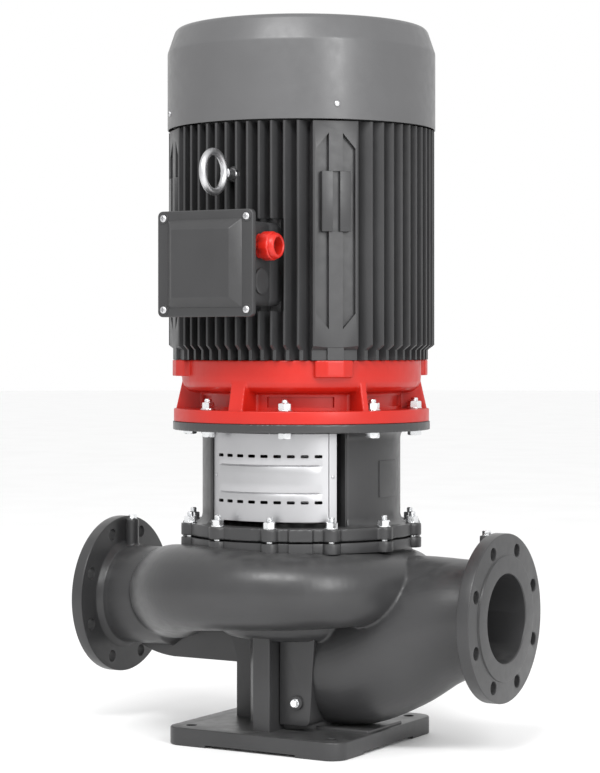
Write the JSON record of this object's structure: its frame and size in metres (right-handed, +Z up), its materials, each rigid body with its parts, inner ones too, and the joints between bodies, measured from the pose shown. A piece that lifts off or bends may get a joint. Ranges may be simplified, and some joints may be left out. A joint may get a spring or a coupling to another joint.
{
  "type": "vertical in-line pump",
  "caption": "Vertical in-line centrifugal pump: volute with coaxial pipe flanges on a square foot, lantern with coupling guards, red end shield and finned flange motor under a fan cowl.",
  "frame": {"origin": "centre of the foot's underside, on the floor and on the pump's vertical shaft axis", "axes": "+Z up along the shaft, +X out of the suction flange, -X out of the discharge flange, -Y towards the terminal box"},
  "size_m": [0.8, 0.6565, 1.248],
  "materials": {
    "dark_paint": "satin dark grey enamel on cast iron",
    "frame_paint": "satin charcoal enamel on cast iron and aluminium",
    "cowl_paint": "satin mid-grey enamel on sheet steel",
    "red_paint": "satin orange-red enamel on cast iron",
    "stainless_sheet": "brushed stainless sheet",
    "zinc_fasteners": "bright zinc plate",
    "bright_steel": "ground steel",
    "machined_iron": "machined grey iron",
    "bronze": "cast bronze",
    "lamination": "stacked electrical steel",
    "copper_winding": "varnished copper wire",
    "rubber": "moulded elastomer",
    "ceramic": "lapped ceramic",
    "red_plastic": "moulded red polyamide",
    "black_plastic": "moulded black plastic"
  },
  "bodies": {
    "pump": {"blanking_plug": "dark_paint", "cable_gland": "red_plastic", "cable_gland_nut": "red_plastic", "casing_cover": "machined_iron", "casing_gasket": "rubber", "casing_stud_01": "zinc_fasteners", "casing_stud_02": "zinc_fasteners", "casing_stud_03": "zinc_fasteners", "casing_stud_04": "zinc_fasteners", "casing_stud_05": "zinc_fasteners", "casing_stud_06": "zinc_fasteners", "casing_stud_07": "zinc_fasteners", "casing_stud_08": "zinc_fasteners", "casing_stud_09": "zinc_fasteners", "casing_stud_10": "zinc_fasteners", "casing_stud_11": "zinc_fasteners", "casing_stud_12": "zinc_fasteners", "coupling_guard_front": "stainless_sheet", "coupling_guard_rear": "stainless_sheet", "discharge_gauge_plug": "zinc_fasteners", "drain_plug": "zinc_fasteners", "drive_end_shield": "red_paint", "fan_cowl": "cowl_paint", "lantern": "dark_paint", "lifting_eye_front": "zinc_fasteners", "lifting_eye_rear": "zinc_fasteners", "lower_bearing_outer_race": "bright_steel", "motor_bolt_1": "zinc_fasteners", "motor_bolt_2": "zinc_fasteners", "motor_bolt_3": "zinc_fasteners", "motor_bolt_4": "zinc_fasteners", "motor_bolt_5": "zinc_fasteners", "motor_bolt_6": "zinc_fasteners", "motor_bolt_7": "zinc_fasteners", "motor_bolt_8": "zinc_fasteners", "motor_frame": "frame_paint", "pump_casing": "dark_paint", "seal_seat": "ceramic", "stator_core": "lamination", "stator_winding_lower": "copper_winding", "stator_winding_upper": "copper_winding", "suction_gauge_plug": "zinc_fasteners", "terminal_board": "black_plastic", "terminal_box": "frame_paint", "terminal_box_cover": "frame_paint", "upper_bearing_outer_race": "bright_steel", "upper_end_shield": "frame_paint", "wear_ring": "bronze"},
    "rotor": {"motor_shaft": "bright_steel", "rotor_core": "lamination", "cooling_fan": "black_plastic", "lower_bearing_inner_race": "bright_steel", "upper_bearing_inner_race": "bright_steel", "shaft_coupling": "machined_iron", "pump_shaft": "bright_steel", "impeller": "bronze", "impeller_nut": "bright_steel", "seal_bellows": "rubber", "seal_rotating_ring": "ceramic"}
  },
  "joints": [
    {"name": "rotor_spin", "type": "hinge", "parent": "pump", "child": "rotor", "pos_m": [0, 0, 0.6], "axis": [0, 0, 1], "continuous": true}
  ]
}
